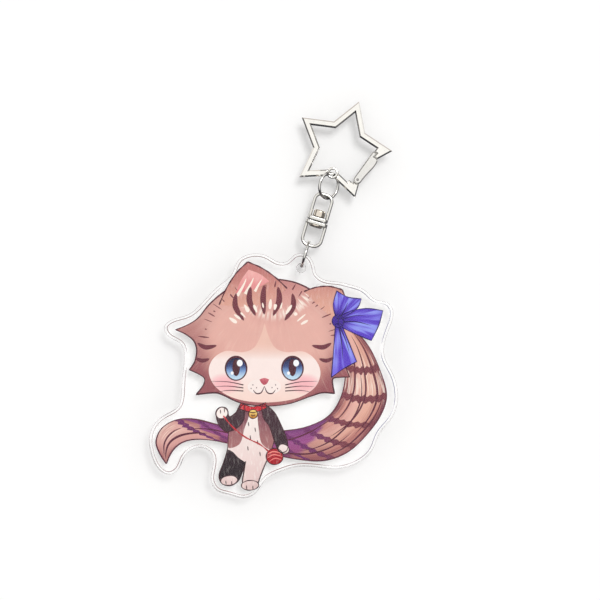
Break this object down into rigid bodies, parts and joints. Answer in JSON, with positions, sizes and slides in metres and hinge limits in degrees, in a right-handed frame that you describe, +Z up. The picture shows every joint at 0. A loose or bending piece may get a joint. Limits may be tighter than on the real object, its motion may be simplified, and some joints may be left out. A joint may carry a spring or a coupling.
{
  "type": "keychain",
  "caption": "Flat printed acrylic charm hung from a star shaped spring gate clasp by two jump rings and a swivel.",
  "frame": {"origin": "centre of the star clasp's opening, half way through its thickness", "axes": "+Z up along the hanging chain, +X right, -Y towards the printed front"},
  "size_m": [0.0808, 0.0092, 0.1366],
  "materials": {
    "nickel": "polished nickel plate",
    "steel": "plain steel",
    "clear_acrylic": "clear polished acrylic",
    "clear_adhesive": "clear adhesive film",
    "colour_ink": "printed ink",
    "white_ink": "white backing ink"
  },
  "bodies": {
    "clasp": {"clasp_frame": "nickel", "gate_hinge_pin": "steel"},
    "gate": {"clasp_gate": "nickel", "gate_spring": "steel"},
    "plunger": {"gate_plunger": "steel"},
    "upper_ring": {"upper_jump_ring": "nickel"},
    "swivel_top": {"swivel_upper_loop": "nickel"},
    "swivel_bottom": {"swivel_lower_loop": "nickel", "swivel_rivet": "nickel"},
    "lower_ring": {"lower_jump_ring": "nickel"},
    "charm": {"front_sheet": "clear_acrylic", "colour_ink": "colour_ink", "white_ink": "white_ink", "adhesive_film": "clear_adhesive", "back_sheet": "clear_acrylic"}
  },
  "joints": [
    {"name": "gate_swing", "type": "hinge", "parent": "clasp", "child": "gate", "pos_m": [0.00798, 0, -0.00828], "axis": [0, -1, 0], "range_deg": [0, 28], "stiffness_Nm_per_rad": 0.002},
    {"name": "plunger_slide", "type": "slide", "parent": "gate", "child": "plunger", "axis": [0.3322, 0, 0.9432], "range_m": [0, 0.0004], "deforming": ["gate_spring"]},
    {"name": "upper_ring_swing", "type": "hinge", "parent": "clasp", "child": "upper_ring", "pos_m": [-0.00056, 0, -0.00863], "axis": [0.7193, 0.6947, 0], "range_deg": [-20, 20]},
    {"name": "swivel_swing", "type": "hinge", "parent": "upper_ring", "child": "swivel_top", "pos_m": [-0.00091, 0, -0.01598], "axis": [1, 0, 0], "range_deg": [-30, 30]},
    {"name": "swivel_spin", "type": "hinge", "parent": "swivel_top", "child": "swivel_bottom", "pos_m": [-0.00091, 0, -0.0252], "axis": [0, 0, 1], "continuous": true},
    {"name": "lower_ring_swing", "type": "hinge", "parent": "swivel_bottom", "child": "lower_ring", "pos_m": [-0.00156, 0, -0.03348], "axis": [1, 0, 0], "range_deg": [-45, 45]},
    {"name": "charm_swing", "type": "hinge", "parent": "lower_ring", "child": "charm", "pos_m": [-0.00156, 0, -0.03663], "axis": [1, 0, 0], "range_deg": [-45, 45]}
  ],
  "couplings": [
    {"joint": "plunger_slide", "follows": "gate_swing", "m_per_rad": 0.000794}
  ]
}
